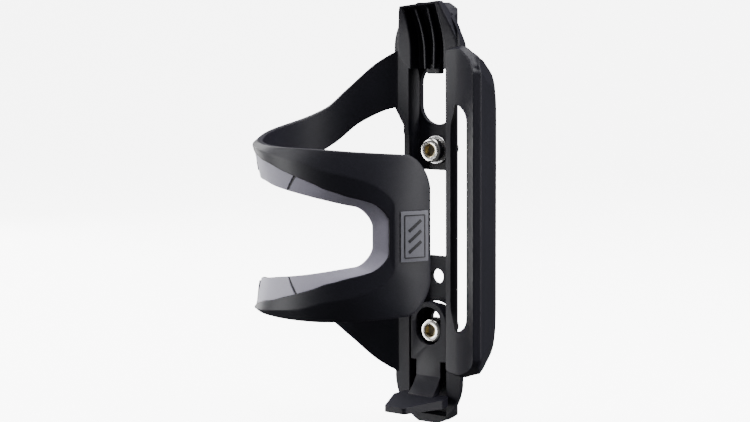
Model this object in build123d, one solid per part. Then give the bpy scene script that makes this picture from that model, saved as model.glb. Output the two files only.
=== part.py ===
from build123d import *
import os
from math import cos, radians, sin

# Side-entry bottle cage. Millimetres, +Z up.
# The origin lies half way between the two mounting bolts, on the face that meets the bike frame.
# +Y points into the bike frame, the bottle stands on the -Y side and enters from the +X side.

# ---- driving dimensions ----
BOLT_SPACING = 64.0          # the two threaded bosses on a bike frame
BOLT_R = 2.5                 # M5
BOLT_HOLE_R = 2.65
SPARE_HOLE_Z = -13.0         # the bolt hole that is used when the cage is turned end for end
MID_Z = 9.5                  # height that the moulding is symmetrical about
BOTTLE_AXIS_Y = -44.6
CRADLE_R = 37.0              # the wing's seat for a 73.5 mm bottle
SPINE_HALF_HEIGHT = 74.0

UPPER_BOLT_Z = BOLT_SPACING / 2
LOWER_BOLT_Z = -BOLT_SPACING / 2

# ---- spine channel ----
SPINE_FRONT_Y = -7.6
FLOOR_Y = -2.0               # front of the 2 mm floor
FLOOR_HALF = 7.4
KNEE_HALF = 8.9              # half width where the rails' outer faces turn in towards the floor
RAIL_HALF = 10.2
CHANNEL_HALF = 8.0
CHANNEL_KNEE_Y = -4.3        # where the rails' inner faces turn in towards the floor
CHANNEL_REACH = 71.0         # half height of the channel, about MID_Z
STRAIGHT_HALF = 40.0         # half height of the straight rails, inside the wide ends
END_HALF = 14.0              # half width of the wide ends
END_FRONT_Y = -8.0
BEHIND_FLANKS = [            # (X, Y) outlines of what is cut away behind the wide ends' two flanks
    [(-28.0, 0.1), (-28.0, -2.4), (-14.0, -2.4), (-10.2, 0.1)],
    [(28.0, 0.1), (28.0, -6.0), (10.0, -6.0), (8.9, -2.0), (7.4, 0.1)],
]
END_INNER = 28.0             # how far the wide ends reach in along the rails, about MID_Z
END_SHOULDER = 58.5          # top of their straight flanks
END_TURN = (10.6, 68.5)      # a point of the rounded tip's flank
END_TIP_HALF = 4.0
END_FLOOR = (28.0, 72.0)     # heights between which the wide ends have a floor
LEFT_FOOT = 31.1             # where the left flank starts to widen, about MID_Z
RIGHT_FOOT = 44.0
GUSSET = 6.2                 # height over which a flank widens
CROSSBAR_IN = 15.3           # half height of the open middle, about MID_Z
SLOT_HALF = 7.1
SLOT_INNER = 31.3            # round inner end of each end slot, about MID_Z
SLOT_OUTER = 52.5

# ---- bottle arm: (angle round the bottle axis from the spine, value) ----
ARM_START = 17.0
ARM_END = 254.4
ARM_THICK = 3.6
ARM_RADII = [(17.0, 40.8), (60.0, 39.6), (100.0, 38.0), (127.0, 37.2), (150.0, 37.0), (260.0, 37.0)]
ARM_EDGE = [
    (8.0, 59.0), (17.0, 57.8), (30.0, 53.0), (46.0, 43.9), (58.0, 37.4), (75.0, 33.6), (100.0, 30.9),
    (127.0, 28.8), (160.0, 27.9), (190.0, 27.7), (215.0, 26.9), (239.5, 25.9),
]
ARM_CORNER = [(248.0, 22.9), (ARM_END, 14.4)]
WINDOW_EDGE = [
    (8.0, 38.0), (20.0, 37.2), (38.0, 32.4), (54.0, 24.7), (70.0, 20.0), (95.0, 17.2), (120.0, 16.4),
    (145.0, 16.0), (160.0, 14.8), (180.0, 13.1), (195.0, 11.5), (211.0, 9.7),
]
WINDOW_CORNER = [(218.5, 7.6), (221.5, 3.6)]
TRIM_EDGE = [
    (100.0, 26.5), (120.0, 26.0), (145.0, 24.2), (160.0, 22.4), (176.0, 19.7), (191.0, 16.8), (203.0, 14.2),
    (215.0, 12.1), (222.0, 10.8),
]
TRIM_CORNER = [(227.6, 8.9), (229.7, 5.6)]
ARM_SECTORS = [(ARM_START, 85.0), (85.0, 175.0), (175.0, ARM_END)]
TRIM_START = 119.0
TRIM_LIMIT = 232.0           # beyond the trim's rounded front corner and before the badge
TRIM_GAP = 0.4               # degrees left open at each seam in the trim
LIP_THICK = 1.2              # wall left behind the trim
TRIM_SINK = 0.3              # trim face below the arm's outer face
BADGE_ANGLES = (235.4, 250.4)
BADGE_HALF = 8.0
BADGE_DEPTH = 0.5

# ---- side wing ----
WING_THICK = 2.9
WING_START = 12.0
WING_END = 45.0
WING_HALF = 58.4             # half height about MID_Z
WING_FRONT_EDGE = [(15.0, 58.4), (19.0, 57.9), (22.5, 56.3), (26.5, 52.8), (30.0, 50.6)]   # (X, half height)
WING_FLANK_EDGE = [(-20.0, 53.6), (-14.0, 51.8), (-5.0, 49.0), (1.0, 44.8)]                # (Y, half height)
WING_BACK = (24.7, -0.5)     # rear outer edge of the wing's flank
WING_SLOT = (16.7, 33.0)     # angles round the bottle axis of the slot's two long sides
WING_SLOT_LOW = -30.0
WING_SLOT_HIGH = 48.2
WING_SLOT_VIEW = 20.0        # angle that the slot is cut along
WING_SLOT_ROUND = 3.2        # corner radius on its right side
WING_SLOT_SLANT = (5.0, 2.4)   # slanted ends on its left side, along and across

# ---- neck hook, (Y, Z) seen from the side and (half width, Z) seen from the front ----
HOOK_FRONT = [(END_FRONT_Y, 60.5), (END_FRONT_Y, 68.0), (-9.2, 72.0), (-11.5, 77.0), (-14.8, 83.4)]
HOOK_BACK = [(-12.4, 84.0), (-8.4, 82.4), (-5.0, 78.0), (-2.2, 68.0), (-2.2, 60.5)]
HOOK_SIDE = [(7.4, 60.5), (11.6, 66.0), (12.4, 69.0), (11.4, 74.0), (9.0, 81.0), (8.0, 84.5)]
HOOK_GROOVES = [(-6.6, -2.9), (-1.9, 1.9), (2.9, 6.6)]   # X of the three deep grooves
HOOK_RECESS = 1.5            # depth of the ribs' tops below the front
HOOK_GROOVE_DEPTH = 3.2
TONGUE_CENTRE = (0.5, -3.7, 60.0)
TONGUE_SIZE = (5.6, 2.6, 3.2)

# ---- sliding foot ----
FOOT_HALF = 7.5
FOOT_TOP_Z = -21.6
FOOT_SHOULDER_Z = -42.5
FOOT_BACK_Y = -4.6
CUP_BACK_Y = -0.2            # clear of the bike frame
CUP_R = 6.7
RECESS_R = 5.3
RECESS_CENTRES = (-28.7, -31.6)
HOLE_CENTRES = (-27.85, -32.55)
CUP_CENTRES = (-29.5, -31.8)
STEM_HALF = 5.2
STEM_PROFILE = [             # (Y, Z) seen from the side
    (SPINE_FRONT_Y, FOOT_SHOULDER_Z), (FOOT_BACK_Y, FOOT_SHOULDER_Z), (FOOT_BACK_Y, -48.5), (-8.6, -54.5),
    (-8.6, -57.6), (-12.5, -57.6), (-12.5, -54.0), (-9.6, -51.0), (SPINE_FRONT_Y, -48.0),
]
LEDGE_PROFILE = [(-8.6, -54.0), (-28.2, -55.6), (-28.2, -57.8), (-8.6, -57.6)]   # (Y, Z)
LEDGE_PLAN = [(-10.5, -14.0), (-9.6, -8.6), (9.6, -8.6), (10.5, -14.0), (4.2, -28.2), (-4.2, -28.2)]
LEDGE_ROUND = 1.6

# ---- bolts ----
HEAD_R = 4.25
HEAD_H = 3.4
SOCKET_ACROSS = 4.0
SOCKET_DEPTH = 2.2
HEAD_CHAMFER = 0.5
NECK_R = 2.3                 # waisted shank under the head, inside the cage
WASHER_H = 1.0
UPPER_WASHER_R = 5.0
LOWER_WASHER_R = 4.45
THREAD_OUT = 9.0             # thread standing out behind the mounting face

FAR = 70.0


def save(part, name):
    """Write one node as a STEP file."""
    part.label = name
    export_step(part, f"parts/{name}.step")


def value_at(table, angle):
    """Straight-line reading of a table of (angle, value)."""
    for (a0, v0), (a1, v1) in zip(table, table[1:]):
        if a0 <= angle <= a1:
            return v0 + (v1 - v0) * (angle - a0) / (a1 - a0)
    return table[-1][1]


def arm_point(angle, offset):
    """A plan point of the arm, offset outwards from its outer face."""
    radius = value_at(ARM_RADII, angle) + offset
    return (-radius * sin(radians(angle)), BOTTLE_AXIS_Y + radius * cos(radians(angle)))


def arm_slab(start, end, inner_offset, outer_offset):
    """The arm's wall from one angle to another, as a tall curved slab."""
    steps = max(2, round((end - start) / 12))
    angles = [start + (end - start) * i / steps for i in range(steps + 1)]
    outer = Spline(*[arm_point(a, outer_offset) for a in angles])
    inner = Spline(*[arm_point(a, inner_offset) for a in angles])
    ends = [Line(outer @ 0, inner @ 0), Line(outer @ 1, inner @ 1)]
    face = make_face([outer, inner] + ends)
    return Pos(0, 0, MID_Z - FAR) * extrude(face, 2 * FAR)


def view_plane(angle):
    """A plane through the bottle axis that looks outwards at one angle, with height upwards."""
    return Plane(
        origin=(0, BOTTLE_AXIS_Y, MID_Z),
        x_dir=(-cos(radians(angle)), -sin(radians(angle)), 0),
        z_dir=(-sin(radians(angle)), cos(radians(angle)), 0),
    )


def view_point(angle, height, view):
    """An edge point of the arm as that plane sees it."""
    radius = value_at(ARM_RADII, angle)
    return (radius * sin(radians(angle - view)), height)


def band_prism(edge, corner, start, end):
    """Everything between an edge curve and its mirror image, seen from the middle of a sector."""
    view = (start + end) / 2
    reach = 22.0
    points = [view_point(a, h, view) for a, h in edge if start - reach <= a <= end + reach]
    upper = Spline(*points)
    lower = Spline(*[(s, -h) for s, h in points])
    left = Line(upper @ 0, lower @ 0)
    lines = [upper, lower, left]
    if corner and end > edge[-1][0]:
        turn = [view_point(a, h, view) for a, h in corner]
        top_turn = Spline(upper @ 1, *turn, tangents=[upper % 1, (0, -1)])
        low_turn = Spline(lower @ 1, *[(s, -h) for s, h in turn], tangents=[lower % 1, (0, 1)])
        lines += [top_turn, low_turn, Line(top_turn @ 1, low_turn @ 1)]
    else:
        lines.append(Line(upper @ 1, lower @ 1))
    return extrude(view_plane(view) * make_face(lines), FAR)


def badge_prism():
    """The badge's outline, as a prism that points out of the front panel."""
    view = sum(BADGE_ANGLES) / 2
    half = value_at(ARM_RADII, view) * sin(radians((BADGE_ANGLES[1] - BADGE_ANGLES[0]) / 2))
    return extrude(view_plane(view) * Rectangle(2 * half, 2 * BADGE_HALF), FAR)


def make_arm():
    """The C-shaped arm, open along its window, with a seat for the trim and the badge."""
    arm = None
    for start, end in ARM_SECTORS:
        wall = arm_slab(start, end, -ARM_THICK, 0)
        wall &= band_prism(ARM_EDGE, ARM_CORNER, start, end)
        wall -= band_prism(WINDOW_EDGE, WINDOW_CORNER, start, end)
        if end > TRIM_START:
            seat = arm_slab(max(start, TRIM_START), min(end, TRIM_LIMIT), LIP_THICK - ARM_THICK, 1)
            wall -= seat & band_prism(TRIM_EDGE, TRIM_CORNER, start, end)
        arm = wall if arm is None else arm + wall
    badge_seat = arm_slab(TRIM_LIMIT, ARM_END, -BADGE_DEPTH, 1) & badge_prism()
    return arm - badge_seat


def make_trims():
    """Three trim pieces: one round the front of the window, one on each limb behind it."""
    pieces = {}
    seam = ARM_SECTORS[1][1]
    for name, first, last in [("side", TRIM_START, seam - TRIM_GAP), ("front", seam + TRIM_GAP, 232.0)]:
        start, end = ARM_SECTORS[1] if name == "side" else ARM_SECTORS[2]
        band = arm_slab(first, last, LIP_THICK - ARM_THICK, -TRIM_SINK)
        band &= band_prism(TRIM_EDGE, TRIM_CORNER, start, end)
        band -= band_prism(WINDOW_EDGE, WINDOW_CORNER, start, end)
        pieces[name] = band
    above = Pos(0, 0, MID_Z + FAR) * Box(4 * FAR, 4 * FAR, 2 * FAR)
    return {
        "trim_upper": pieces["side"] & above,
        "trim_front": pieces["front"],
        "trim_lower": pieces["side"] - above,
    }


def make_badge():
    """A plain curved plate in the front panel."""
    return arm_slab(TRIM_LIMIT, ARM_END, -BADGE_DEPTH, 0.1) & badge_prism()


def front_prism(face, y_front, y_back):
    """A face drawn in the front view, X across and Z up, made solid between two depths."""
    return Plane.XZ.offset(-y_back) * extrude(face, y_back - y_front)


def side_prism(points, x_low, x_high):
    """An outline of (Y, Z) points made solid between two widths."""
    return Plane.YZ.offset(x_low) * extrude(make_face(Polyline(*points, close=True)), x_high - x_low)


def stadium(radius, z_low, z_high):
    """A vertical slot outline between two arc centres, in the front view."""
    middle = (z_low + z_high) / 2
    return Pos(0, middle) * SlotCenterToCenter(abs(z_high - z_low), 2 * radius, rotation=90)


def end_outline(left_foot, right_foot):
    """The wide end of the spine: straight flanks that round over to a narrow tip, about MID_Z."""
    turn_x, turn_z = END_TURN
    right = ThreePointArc((END_HALF, END_SHOULDER), (turn_x, turn_z), (END_TIP_HALF, SPINE_HALF_HEIGHT))
    left = ThreePointArc((-END_HALF, END_SHOULDER), (-turn_x, turn_z), (-END_TIP_HALF, SPINE_HALF_HEIGHT))
    lower = Polyline(
        (-END_HALF, END_SHOULDER), (-END_HALF, left_foot + GUSSET), (-RAIL_HALF, left_foot),
        (-RAIL_HALF, END_INNER), (RAIL_HALF, END_INNER), (RAIL_HALF, right_foot),
        (END_HALF, right_foot + GUSSET), (END_HALF, END_SHOULDER),
    )
    return make_face([left, lower, right, Line(left @ 1, right @ 1)])


def make_spine():
    """The channel with its two crossbars, wide ends, end slots and bolt holes."""
    walls = Polyline(
        (-RAIL_HALF, SPINE_FRONT_Y), (-KNEE_HALF, FLOOR_Y), (-FLOOR_HALF, 0), (FLOOR_HALF, 0),
        (KNEE_HALF, FLOOR_Y), (RAIL_HALF, SPINE_FRONT_Y), close=True,
    )
    spine = Pos(0, 0, MID_Z - STRAIGHT_HALF) * extrude(make_face(walls), 2 * STRAIGHT_HALF)
    end = front_prism(end_outline(LEFT_FOOT, RIGHT_FOOT), END_FRONT_Y, 0)
    for behind in BEHIND_FLANKS:
        end -= extrude(make_face(Polyline(*behind, close=True)), 2 * FAR, both=True)
    floor_low, floor_high = END_FLOOR
    floor = Pos(0, (floor_low + floor_high) / 2) * Rectangle(2 * FLOOR_HALF, floor_high - floor_low)
    end += front_prism(floor, CHANNEL_KNEE_Y, 0)
    end = Pos(0, 0, MID_Z) * end
    spine += end + mirror(end, about=Plane.XY.offset(MID_Z))
    mouth_y = END_FRONT_Y - 1
    channel = Polyline(
        (-CHANNEL_HALF, mouth_y), (-CHANNEL_HALF, CHANNEL_KNEE_Y), (-FLOOR_HALF, FLOOR_Y),
        (FLOOR_HALF, FLOOR_Y), (CHANNEL_HALF, CHANNEL_KNEE_Y), (CHANNEL_HALF, mouth_y), close=True,
    )
    spine -= Pos(0, 0, MID_Z - CHANNEL_REACH) * extrude(make_face(channel), 2 * CHANNEL_REACH)
    spine -= Pos(0, 0, MID_Z) * Box(2 * FLOOR_HALF, FAR, 2 * CROSSBAR_IN)
    for side in (-1, 1):
        inner = MID_Z + side * (SLOT_INNER + SLOT_HALF)
        outer = MID_Z + side * (SLOT_OUTER - SLOT_HALF)
        spine -= front_prism(stadium(SLOT_HALF, inner, outer), mouth_y, 1)
    for height in (UPPER_BOLT_Z, SPARE_HOLE_Z):
        spine -= front_prism(Pos(0, height) * Circle(BOLT_HOLE_R), mouth_y, 1)
    return spine


def make_wing():
    """The cradle wing: a curved seat with a long slot, and a flank that runs back from its tip."""
    def seat_point(angle, radius):
        return (radius * sin(radians(angle)), BOTTLE_AXIS_Y + radius * cos(radians(angle)))

    outer_r = CRADLE_R + WING_THICK
    arc_angles = (WING_START, (WING_START + WING_END) / 2, WING_END)
    inner = ThreePointArc(*[seat_point(a, CRADLE_R) for a in arc_angles])
    outer = ThreePointArc(*[seat_point(a, outer_r) for a in arc_angles])
    seat = make_face([inner, outer, Line(inner @ 0, outer @ 0), Line(inner @ 1, outer @ 1)])
    seat = Pos(0, 0, -WING_HALF) * extrude(seat, 2 * WING_HALF)
    upper_edge = [(0.0, WING_HALF)] + WING_FRONT_EDGE
    outline = upper_edge + [(x, -h) for x, h in reversed(upper_edge)]
    seat &= front_prism(make_face(Polyline(*outline, close=True)), BOTTLE_AXIS_Y, BOLT_R)

    behind_seat = seat_point(WING_END - 5, outer_r)
    back_inner = (WING_BACK[0] - WING_THICK, WING_BACK[1])
    flank = make_face(Polyline(inner @ 1, outer @ 1, WING_BACK, back_inner, behind_seat, close=True))
    flank = Pos(0, 0, -WING_HALF) * extrude(flank, 2 * WING_HALF)
    outline = WING_FLANK_EDGE + [(y, -h) for y, h in reversed(WING_FLANK_EDGE)]
    flank &= side_prism(outline, END_HALF, FAR)
    wing = Pos(0, 0, MID_Z) * (seat + flank)

    low, high = [CRADLE_R * sin(radians(a - WING_SLOT_VIEW)) for a in WING_SLOT]
    slot = Rectangle(high - low, WING_SLOT_HIGH - WING_SLOT_LOW)
    slot = fillet(slot.vertices().group_by(Axis.X)[-1], WING_SLOT_ROUND)
    slot = chamfer(slot.vertices().group_by(Axis.X)[0], *WING_SLOT_SLANT)
    turn = radians(WING_SLOT_VIEW)
    look = Plane(
        origin=(0, BOTTLE_AXIS_Y, (WING_SLOT_HIGH + WING_SLOT_LOW) / 2),
        x_dir=(cos(turn), -sin(turn), 0),
        z_dir=(sin(turn), cos(turn), 0),
    )
    wing -= extrude(look * Pos((low + high) / 2, 0) * slot, outer_r + BOLT_R)
    return wing


def hook_cut(depth, low, high):
    """Everything in front of the hook's front line moved back by a depth, between two widths."""
    in_front = [(2 * HOOK_FRONT[-1][0], HOOK_FRONT[-1][1] + 10), (2 * HOOK_FRONT[-1][0], HOOK_FRONT[0][1])]
    return side_prism([(y + depth, z) for y, z in HOOK_FRONT] + in_front, low, high)


def make_hook():
    """The neck hook: a grooved insert in the top end that leans forward over the bottle's neck."""
    body = side_prism(HOOK_FRONT + HOOK_BACK, -END_HALF, END_HALF)
    outline = HOOK_SIDE + [(-x, z) for x, z in reversed(HOOK_SIDE)]
    body &= front_prism(make_face(Polyline(*outline, close=True)), BOTTLE_AXIS_Y, 0)
    for low, high in HOOK_GROOVES:
        body -= hook_cut(HOOK_GROOVE_DEPTH, low, high)
    body -= hook_cut(HOOK_RECESS, HOOK_GROOVES[0][0], HOOK_GROOVES[-1][1])
    return body + Pos(*TONGUE_CENTRE) * Box(*TONGUE_SIZE)


def make_foot():
    """The sliding foot: a slotted plate and cup for the lower bolt, a stem and a bottle ledge."""
    round_z = FOOT_TOP_Z - FOOT_HALF
    plate = Pos(0, (round_z + FOOT_SHOULDER_Z) / 2) * Rectangle(2 * FOOT_HALF, round_z - FOOT_SHOULDER_Z)
    plate += Pos(0, round_z) * Circle(FOOT_HALF)
    foot = front_prism(plate, SPINE_FRONT_Y, FOOT_BACK_Y)
    foot += front_prism(stadium(CUP_R, *CUP_CENTRES), FOOT_BACK_Y, CUP_BACK_Y)
    foot += side_prism(STEM_PROFILE, -STEM_HALF, STEM_HALF)
    ledge = side_prism(LEDGE_PROFILE, -END_HALF, END_HALF)
    plan = fillet(make_face(Polyline(*LEDGE_PLAN, close=True)).vertices(), LEDGE_ROUND)
    foot += ledge & (Pos(0, 0, -FAR) * extrude(plan, FAR))
    foot -= front_prism(stadium(RECESS_R, *RECESS_CENTRES), END_FRONT_Y, FLOOR_Y)
    foot -= front_prism(stadium(BOLT_HOLE_R, *HOLE_CENTRES), END_FRONT_Y, 1)
    return foot


def make_bolt(height):
    """A low-head M5 socket bolt at one height, its thread standing out behind the cage."""
    seat_y = FLOOR_Y - WASHER_H
    face_y = seat_y - HEAD_H
    head = front_prism(Pos(0, height) * Circle(HEAD_R), face_y, seat_y)
    head = chamfer(head.edges().group_by(Axis.Y)[0], HEAD_CHAMFER)
    neck = front_prism(Pos(0, height) * Circle(NECK_R), seat_y, 0)
    shank = front_prism(Pos(0, height) * Circle(BOLT_R), 0, THREAD_OUT)
    socket_r = SOCKET_ACROSS / 2 / cos(radians(30))
    socket = front_prism(Pos(0, height) * RegularPolygon(socket_r, 6), face_y - 1, face_y + SOCKET_DEPTH)
    return head + neck + shank - socket


def make_washer(height, radius):
    """A flat washer under a bolt head."""
    ring = Pos(0, height) * (Circle(radius) - Circle(BOLT_HOLE_R))
    return front_prism(ring, FLOOR_Y - WASHER_H, FLOOR_Y)


def main():
    os.makedirs("parts", exist_ok=True)
    hook = make_hook()
    spine = make_spine() - hook
    save(spine, "spine")
    save(make_wing() - spine - hook, "side_wing")
    save(make_arm() - spine - hook, "wrap_arm")
    for name, piece in make_trims().items():
        save(piece, name)
    save(make_badge(), "badge_plate")
    save(hook, "neck_hook")
    save(make_foot(), "sliding_foot")
    save(make_bolt(UPPER_BOLT_Z), "upper_bolt")
    save(make_bolt(LOWER_BOLT_Z), "lower_bolt")
    save(make_washer(UPPER_BOLT_Z, UPPER_WASHER_R), "upper_washer")
    save(make_washer(LOWER_BOLT_Z, LOWER_WASHER_R), "lower_washer")


main()
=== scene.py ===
"""Looks for a side-entry bottle cage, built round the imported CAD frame.

Shapes are written in millimetres in the frame's own axes: +Z up along the spine, +Y into the
bicycle, the bottle on the -Y side. Each is a profile carried along a path or a two-parameter
grid, worked out as whole arrays, and scaled to metres when it becomes a mesh.
"""

from __future__ import annotations

import logging
import math
from dataclasses import dataclass, field
from enum import Enum
from typing import Any, Sequence

import bmesh
import bpy
import numpy as np
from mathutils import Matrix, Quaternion, Vector

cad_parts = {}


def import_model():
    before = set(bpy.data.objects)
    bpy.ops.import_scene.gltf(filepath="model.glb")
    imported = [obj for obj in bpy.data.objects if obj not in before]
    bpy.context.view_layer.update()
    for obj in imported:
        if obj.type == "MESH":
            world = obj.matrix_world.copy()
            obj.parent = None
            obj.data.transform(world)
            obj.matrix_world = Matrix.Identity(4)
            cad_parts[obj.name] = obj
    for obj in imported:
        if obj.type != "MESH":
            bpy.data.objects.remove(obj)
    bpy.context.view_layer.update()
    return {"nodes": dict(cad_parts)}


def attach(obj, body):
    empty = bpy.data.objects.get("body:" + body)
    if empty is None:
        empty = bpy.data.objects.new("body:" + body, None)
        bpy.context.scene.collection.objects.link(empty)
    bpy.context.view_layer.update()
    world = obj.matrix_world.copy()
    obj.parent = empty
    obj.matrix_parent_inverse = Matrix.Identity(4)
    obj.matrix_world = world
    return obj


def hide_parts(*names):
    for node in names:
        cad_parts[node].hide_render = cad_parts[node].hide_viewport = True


LOG = logging.getLogger("bottle_cage")
MM = 0.001
MID_Z = 9.5
BOTTLE_AXIS_Y = -44.6
BOLT_Z = 32.0
UNROLL = 37.0 * math.pi / 180.0
SHARP = math.radians(32.0)

Array = np.ndarray
Point = tuple[float, float, float]
Pair = tuple[float, float]
Table = list[Pair]


class Body(Enum):
    """The frame's bodies that pieces ride on."""

    CAGE = "cage"
    FOOT = "foot"


class Slot(Enum):
    """The record's material slots."""

    MOULDING = "moulding"
    TRIM = "trim"
    BADGE = "badge"
    BOLT = "bolt_steel"
    WASHER = "washer_steel"


# ---------------------------------------------------------------- shader maths


class Sock:
    """A shader socket that Python operators work on: an expression adds Math nodes."""

    def __init__(self, graph: "Graph", socket: bpy.types.NodeSocket) -> None:
        """Wraps one output socket of a graph."""
        self.graph = graph
        self.socket = socket

    def __add__(self, other: "Sock | float") -> "Sock":
        """Sum."""
        return self.graph.math("ADD", self, other)

    def __radd__(self, other: float) -> "Sock":
        """Sum with the number first."""
        return self.graph.math("ADD", other, self)

    def __sub__(self, other: "Sock | float") -> "Sock":
        """Difference."""
        return self.graph.math("SUBTRACT", self, other)

    def __rsub__(self, other: float) -> "Sock":
        """Difference with the number first."""
        return self.graph.math("SUBTRACT", other, self)

    def __mul__(self, other: "Sock | float") -> "Sock":
        """Product."""
        return self.graph.math("MULTIPLY", self, other)

    def __rmul__(self, other: float) -> "Sock":
        """Product with the number first."""
        return self.graph.math("MULTIPLY", other, self)


class Graph:
    """A material's node tree, with one method for any node."""

    def __init__(self, name: str) -> None:
        """Starts an empty material.

        Args:
            name: The material's name.
        """
        self.material = bpy.data.materials.new(name)
        self.material.use_nodes = True
        self.tree = self.material.node_tree
        self.tree.nodes.clear()
        self.place = self.node("ShaderNodeTexCoord").outputs["Object"]

    def node(self, kind: str, settings: dict[str, Any] | None = None, **sockets: Any) -> bpy.types.Node:
        """Adds a node.

        Args:
            kind: The node's type.
            settings: Its settings, which are set first; "stops" fills a ramp.
            sockets: Values or links by socket name, or by number as s0, s1.

        Returns:
            The node.
        """
        made = self.tree.nodes.new(kind)
        for key, value in (settings or {}).items():
            if key == "stops":
                self._fill_ramp(made.color_ramp, value)
            else:
                setattr(made, key, value)
        for key, value in sockets.items():
            numbered = key[0] == "s" and key[1:].isdigit()
            entry = made.inputs[int(key[1:])] if numbered else made.inputs[key.replace("_", " ")]
            self.feed(entry, value)
        return made

    @staticmethod
    def _fill_ramp(ramp: bpy.types.ColorRamp, stops: Sequence[Pair]) -> None:
        """Puts (position, grey) stops on a ramp that has two to begin with."""
        while len(ramp.elements) < len(stops):
            ramp.elements.new(1.0)
        for element, (position, grey) in zip(ramp.elements, stops):
            element.position = position
            element.color = (grey, grey, grey, 1.0)

    def feed(self, entry: bpy.types.NodeSocket, value: Any) -> None:
        """Links a socket or sets its value."""
        if isinstance(value, Sock):
            self.tree.links.new(value.socket, entry)
        elif isinstance(value, bpy.types.NodeSocket):
            self.tree.links.new(value, entry)
        else:
            entry.default_value = value

    def math(self, operation: str, first: Any, second: Any) -> Sock:
        """Adds a Math node of two inputs."""
        return Sock(
            self,
            self.node("ShaderNodeMath", {"operation": operation}, s0=first, s1=second).outputs[0],
        )

    def noise(self, scale: float, detail: float = 2.0, stretch: Point = (1.0, 1.0, 1.0)) -> Sock:
        """Noise from 0 to 1 on object coordinates in metres.

        Args:
            scale: Waves in a metre.
            detail: Octaves.
            stretch: Scale of each axis before the noise.

        Returns:
            The noise value.
        """
        place = self.node("ShaderNodeMapping", None, Vector=self.place, Scale=stretch).outputs[0]
        made = self.node("ShaderNodeTexNoise", None, Vector=place, Scale=scale, Detail=detail, Roughness=0.55)
        return Sock(self, made.outputs[0])

    def ramp(self, value: Sock, *stops: Pair) -> Sock:
        """A grey ramp read as a number."""
        made = self.node("ShaderNodeValToRGB", {"stops": stops}, s0=value)
        return Sock(self, made.outputs[0])

    def blend(self, factor: Sock, dark: Sequence[float], light: Sequence[float]) -> bpy.types.NodeSocket:
        """Mixes two colours by a factor."""
        made = self.node("ShaderNodeMix", {"data_type": "RGBA"}, s0=factor)
        made.inputs[6].default_value = (*dark, 1.0)
        made.inputs[7].default_value = (*light, 1.0)
        return made.outputs[2]

    def bump(self, height: Sock, distance: float, strength: float = 1.0) -> bpy.types.NodeSocket:
        """A Bump node over a height.

        Args:
            height: From 0 to 1.
            distance: Depth in metres.
            strength: Share of the effect.

        Returns:
            The normal.
        """
        return self.node(
            "ShaderNodeBump",
            None,
            Height=height,
            Distance=distance,
            Strength=strength,
        ).outputs[0]

    def surface(self, **sockets: Any) -> bpy.types.Material:
        """Ends the graph with one Principled shader and returns the material."""
        shader = self.node("ShaderNodeBsdfPrincipled", None, **sockets)
        output = self.tree.nodes.new("ShaderNodeOutputMaterial")
        self.tree.links.new(shader.outputs[0], output.inputs[0])
        return self.material


# ---------------------------------------------------------------- finishes


@dataclass(frozen=True)
class MouldedFinish:
    """Fine spark-eroded plastic: soft sheen, pin-point grain and slow patches of shine."""

    name: str
    dark: Point
    light: Point
    shine: Pair = (0.40, 0.55)
    gloss: float = 0.26
    grain_per_m: float = 2600.0
    grain_depth: float = 0.00002

    def material(self) -> bpy.types.Material:
        """Builds the material."""
        graph = Graph(self.name)
        grain = graph.noise(self.grain_per_m, 3.0)
        patches = graph.noise(60.0, 2.0)
        rough = self.shine[0] + (self.shine[1] - self.shine[0]) * (0.6 * patches + 0.4 * grain)
        speck = graph.ramp(grain, (0.35, 0.0), (0.75, 1.0))
        return graph.surface(
            Base_Color=graph.blend(0.35 * patches + 0.65 * speck, self.dark, self.light),
            Roughness=rough,
            Specular_IOR_Level=self.gloss,
            Normal=graph.bump(grain, self.grain_depth, 0.6),
        )


@dataclass(frozen=True)
class SteelFinish:
    """Polished steel with fine turning marks round the bolt axis and slight stains."""

    name: str
    dark: Point
    light: Point
    shine: Pair = (0.10, 0.24)

    def material(self) -> bpy.types.Material:
        """Builds the material."""
        graph = Graph(self.name)
        marks = graph.noise(5200.0, 2.0, (1.0, 0.12, 1.0))
        stains = graph.noise(420.0, 3.0)
        return graph.surface(
            Base_Color=graph.blend(stains, self.dark, self.light),
            Metallic=1.0,
            Roughness=self.shine[0] + (self.shine[1] - self.shine[0]) * stains + 0.05 * marks,
            Normal=graph.bump(marks, 0.000004, 0.5),
        )


@dataclass(frozen=True)
class PaperFinish:
    """The pale floor."""

    name: str = "studio_paper"
    glow: float = 6.5

    def material(self) -> bpy.types.Material:
        """Builds the material."""
        graph = Graph(self.name)
        fibre = graph.noise(300.0, 2.0)
        return graph.surface(
            Base_Color=graph.blend(fibre, (0.93, 0.93, 0.93), (0.97, 0.97, 0.97)),
            Roughness=0.9,
            Emission_Color=(1.0, 1.0, 1.0, 1.0),
            Emission_Strength=self.glow,
            Normal=graph.bump(fibre, 0.00002, 0.2),
        )


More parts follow.
